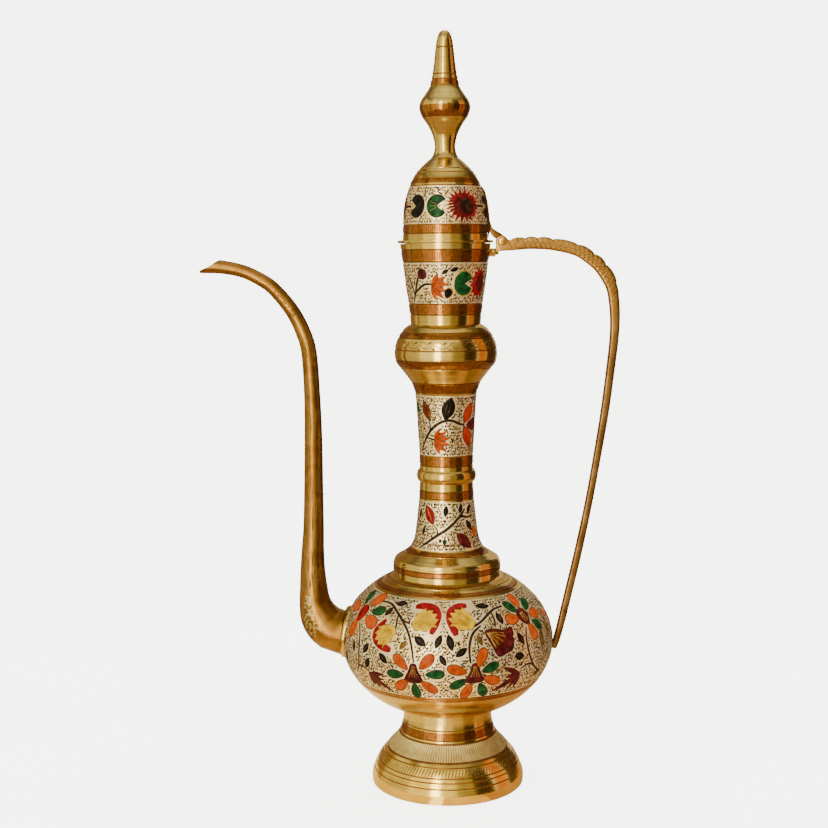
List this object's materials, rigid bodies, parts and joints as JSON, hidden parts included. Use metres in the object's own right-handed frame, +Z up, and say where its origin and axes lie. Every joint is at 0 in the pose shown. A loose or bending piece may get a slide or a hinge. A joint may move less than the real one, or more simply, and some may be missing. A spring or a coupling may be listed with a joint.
{
  "type": "surahi ewer",
  "caption": "Long-necked brass surahi ewer with round belly, swan-neck spout, scalloped handle and hinged domed lid, engraved and enamelled, for pouring water.",
  "frame": {"origin": "centre of the foot's rim on the surface it stands on", "axes": "+Z up along the axis of the vessel, +X towards the handle, -X towards the spout"},
  "size_m": [0.1967, 0.101, 0.3551],
  "materials": {
    "turned_brass": "polished, turned lines",
    "engraved_brass": "engraved ground with coloured enamel flowers",
    "cast_brass": "satin cast brass",
    "enamel": "glossy fired enamel in several colours"
  },
  "bodies": {
    "vessel": {"foot": "turned_brass", "belly_bowl": "engraved_brass", "belly_shoulder": "engraved_brass", "spout_plate": "cast_brass", "spout": "cast_brass", "shoulder_collar": "turned_brass", "lower_neck": "engraved_brass", "neck_ring": "turned_brass", "upper_neck": "engraved_brass", "knop_bowl": "turned_brass", "knop_cap": "turned_brass", "cup": "engraved_brass", "cup_lug": "cast_brass", "handle": "cast_brass", "handle_pin": "turned_brass", "hinge_pin": "turned_brass"},
    "lid": {"lid_flange": "turned_brass", "lid_spigot": "turned_brass", "lid_dome": "engraved_brass", "lid_strap": "cast_brass", "finial": "turned_brass", "finial_washer": "turned_brass"}
  },
  "joints": [
    {"name": "lid_hinge", "type": "hinge", "parent": "vessel", "child": "lid", "pos_m": [0.0263, 0, 0.25864], "axis": [0, 1, 0], "range_deg": [0, 100]}
  ]
}
